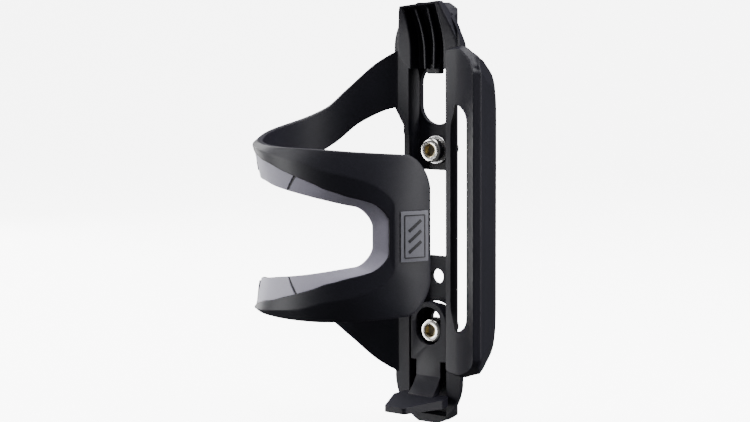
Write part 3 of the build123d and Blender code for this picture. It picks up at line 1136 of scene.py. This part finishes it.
@dataclass
class Fixing:
    """One M5 bolt with its washer, turned about an axis along Y."""

    name: str
    height: float
    washer_radius: float
    head_radius: float = 4.25
    head_front: float = -6.4
    head_back: float = -3.0
    thread_end: float = 9.0
    pitch: float = 0.8
    around: int = 96

    def turned(self, profile: Array, hexed: Array, knurled: Array, threaded: Array) -> Array:
        """Turns a profile of (Y, radius) about the bolt's axis.

        A hexed row's radius is its half width across flats over the cosine of the angle from
        the nearest flat's middle. A knurled row adds a fine wave round the head. A threaded row
        takes off a triangle wave of Y over the pitch less the turn, which makes the helix.

        Args:
            profile: Rows of (Y, radius).
            hexed: Share of the hexagon in each row.
            knurled: Depth of the knurl in each row.
            threaded: Depth of the thread in each row.

        Returns:
            Rings by points by XYZ.
        """
        phi = np.linspace(0, 2 * math.pi, self.around, endpoint=False)[None]
        y, radius = profile[:, :1], profile[:, 1:]
        sixth = math.pi / 3
        flat = np.mod(phi + sixth / 2, sixth) - sixth / 2
        radius = radius * (1 - hexed[:, None] + hexed[:, None] / np.cos(flat))
        radius = radius - knurled[:, None] * (0.5 + 0.5 * np.cos(phi * 32))
        wave = np.abs(2 * np.mod(y / self.pitch - phi / (2 * math.pi), 1.0) - 1)
        radius = radius - threaded[:, None] * wave
        shape = np.broadcast_shapes(radius.shape, phi.shape)
        return np.stack(
            [radius * np.cos(phi), np.broadcast_to(y, shape), self.height + radius * np.sin(phi)], axis=-1
        )

    def bolt(self) -> Shell:
        """The bolt: socket floor, hexagon, chamfers, knurled side, seat, neck and thread."""
        front, back, head = self.head_front, self.head_back, self.head_radius
        rows = [
            (front + 2.7, 0.05, 0, 0), (front + 2.2, 1.75, 0.6, 0), (front + 2.15, 1.98, 1, 0),
            (front + 1.2, 2.0, 1, 0), (front + 0.35, 2.0, 1, 0), (front + 0.12, 2.12, 0.7, 0),
            (front + 0.02, 2.45, 0.15, 0), (front, 2.7, 0, 0), (front, 3.3, 0, 0),
            (front + 0.02, 3.62, 0, 0), (front + 0.12, 3.86, 0, 0), (front + 0.3, 4.05, 0, 0),
            (front + 0.55, 4.16, 0, 0.0), (front + 0.75, 4.2, 0, 0.06), (front + 0.95, head, 0, 0.14),
            (back - 0.75, head, 0, 0.14), (back - 0.5, head, 0, 0.0), (back - 0.2, head, 0, 0.0),
            (back - 0.05, head - 0.1, 0, 0), (back, head - 0.3, 0, 0), (back, 2.5, 0, 0),
            (back + 0.1, 2.34, 0, 0), (back + 0.4, 2.3, 0, 0), (-0.2, 2.3, 0, 0),
        ]
        table = np.array(rows)
        thread_y = np.arange(0.0, self.thread_end - 0.6, 0.1)
        ramp = np.clip(np.minimum(thread_y / 0.6, (self.thread_end - 0.6 - thread_y) / 0.4), 0, 1)
        thread = np.stack([thread_y, 2.3 + 0.2 * ramp, np.zeros_like(ramp), np.zeros_like(ramp)], axis=1)
        end = np.array(
            [
                (self.thread_end - 0.5, 2.2, 0, 0), (self.thread_end - 0.05, 1.85, 0, 0),
                (self.thread_end, 1.7, 0, 0), (self.thread_end, 0.05, 0, 0),
            ]
        )
        whole = np.concatenate([table, thread, end])
        cut = np.concatenate([np.zeros(len(table)), 0.42 * ramp, np.zeros(len(end))])
        return carried(self.turned(whole[:, :2], whole[:, 2], whole[:, 3], cut))

    def washer(self) -> Shell:
        """The washer: a rounded rectangle carried round the bolt's axis."""
        phi = np.linspace(0, 2 * math.pi, self.around, endpoint=False)
        inner, outer, low, high = 2.65, self.washer_radius, -2.0, self.head_back
        section = np.array([[inner, low], [inner, high], [outer, high], [outer, low]])
        corners = np.stack(
            [
                np.cos(phi)[:, None] * section[:, 0], np.broadcast_to(section[:, 1], (len(phi), 4)),
                self.height + np.sin(phi)[:, None] * section[:, 0],
            ],
            axis=-1,
        )
        return carried(rounded(corners, (0.08, 0.12, 0.3, 0.25), (1, 4, 1, 4)), loop=True)

    def build(self, palette: Palette) -> None:
        """Makes and settles the bolt and its washer."""
        bolt = polished(f"{self.name}_bolt_look", [self.bolt()], [palette.bolt, palette.socket])
        self._stain_socket(bolt)
        settle(bolt, Body.CAGE, Slot.BOLT, f"{self.name}_bolt")
        washer = polished(f"{self.name}_washer_look", [self.washer()], [palette.washer])
        settle(washer, Body.CAGE, Slot.WASHER, f"{self.name}_washer")

    def _stain_socket(self, bolt: bpy.types.Object) -> None:
        """Gives the faces inside the hexagon the worn finish."""
        mesh = bolt.data
        centres = np.empty(len(mesh.polygons) * 3)
        mesh.polygons.foreach_get("center", centres)
        centres = centres.reshape(-1, 3) / MM
        away = np.hypot(centres[:, 0], centres[:, 2] - self.height)
        inside = (away < 2.5) & (centres[:, 1] > self.head_front + 0.05)
        inside &= centres[:, 1] < self.head_back - 0.5
        mesh.polygons.foreach_set("material_index", inside.astype(np.int32))
        mesh.update()


# ---------------------------------------------------------------- studio


@dataclass
class Studio:
    """Pale floor, soft light and the camera, which looks from ahead (X, Y) and a little above."""

    target: Point = (-18.5, -13.9, 10.2)
    distance: float = 650.0
    ahead: Pair = (0.6, -0.8)
    elevation: float = 6.2
    lens: float = 88.1
    roll: float = -0.29
    floor_z: float = -66.0
    air: float = 0.13

    def floor(self, palette: Palette) -> None:
        """A wide floor that curves up behind into a wall: a profile of (Y, Z) carried along X."""
        turn = np.linspace(0, math.pi / 2, 24)
        radius, back, front, wall = 500.0, 900.0, -2200.0, 2200.0
        y = np.concatenate([[front, -600.0, 0.0], back + radius * np.sin(turn), [back + radius]])
        z = np.concatenate([[0.0, 0.0, 0.0], radius * (1 - np.cos(turn)), [wall]]) + self.floor_z
        x = np.linspace(-2600, 2600, 9)
        grid = np.stack(np.broadcast_arrays(x[:, None], y[None], z[None]), axis=-1)
        index = np.arange(grid.shape[0] * grid.shape[1]).reshape(grid.shape[:2])
        quads = np.stack(
            [index[:-1, :-1], index[1:, :-1], index[1:, 1:], index[:-1, 1:]],
            axis=-1,
        ).reshape(-1, 4)
        floor = polished("floor", [Shell(grid.reshape(-1, 3), quads)], [palette.paper])
        floor.visible_diffuse = False
        floor.visible_glossy = False

    def light(self, name: str, place: Point, size: Pair, watts: float) -> None:
        """Adds a rectangular area light that points at the cage.

        Args:
            name: Its name.
            place: Its centre in millimetres.
            size: Its width and height in metres.
            watts: Its power.
        """
        data = bpy.data.lights.new(name, "AREA")
        data.shape = "RECTANGLE"
        data.size, data.size_y = size
        data.energy = watts
        made = bpy.data.objects.new(name, data)
        made.location = Vector(place) * MM
        made.rotation_euler = (Vector(self.target) * MM - made.location).to_track_quat("-Z", "Y").to_euler()
        bpy.context.scene.collection.objects.link(made)

    def world(self) -> None:
        """An even pale surround."""
        world = bpy.data.worlds.new("studio_air")
        world.use_nodes = True
        background = world.node_tree.nodes["Background"]
        background.inputs[0].default_value = (1.0, 1.0, 1.0, 1.0)
        background.inputs[1].default_value = self.air
        bpy.context.scene.world = world

    def camera(self) -> None:
        """The camera, a little above the object's middle and to its right."""
        rise = math.radians(self.elevation)
        x, y = self.ahead
        back = Vector((x * math.cos(rise), y * math.cos(rise), math.sin(rise)))
        data = bpy.data.cameras.new("camera")
        data.sensor_width = 36.0
        data.lens = self.lens
        data.clip_start, data.clip_end = 0.01, 20.0
        made = bpy.data.objects.new("camera", data)
        made.location = (Vector(self.target) + back * self.distance) * MM
        made.rotation_mode = "QUATERNION"
        turn = Quaternion((0.0, 0.0, 1.0), math.radians(self.roll))
        made.rotation_quaternion = (-back).to_track_quat("-Z", "Y") @ turn
        bpy.context.scene.collection.objects.link(made)
        bpy.context.scene.camera = made

    def build(self, palette: Palette) -> None:
        """Makes the whole studio."""
        self.floor(palette)
        self.world()
        self.camera()
        self.light("top_box", (40, 40, 700), (0.8, 0.7), 14.0)
        self.light("left_strip", (-560, -430, 60), (0.35, 0.9), 9.0)
        self.light("left_rim", (-650, 180, 160), (0.2, 0.9), 5.0)
        self.light("right_strip", (640, 120, 160), (0.3, 0.9), 8.0)
        LOG.info("studio ready")


def main() -> None:
    """Builds every piece round the frame, then the studio."""
    logging.basicConfig(level=logging.INFO, format="%(name)s %(message)s")
    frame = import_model()
    palette = Palette.made()
    for node in frame["nodes"].values():
        node.data.materials.clear()
        node.data.materials.append(palette.moulding)
    WrapArm().build(palette)
    CradleWing().build(palette)
    NeckHook().build(palette)
    for node, width, body in (("spine", 0.3, Body.CAGE), ("sliding_foot", 0.35, Body.FOOT)):
        settle(softened(frame, node, width, palette.moulding), body, Slot.MOULDING, node)
    Fixing("upper", BOLT_Z, washer_radius=5.0).build(palette)
    Fixing("lower", -BOLT_Z, washer_radius=4.45).build(palette)
    Studio().build(palette)


if __name__ == "__main__":
    main()
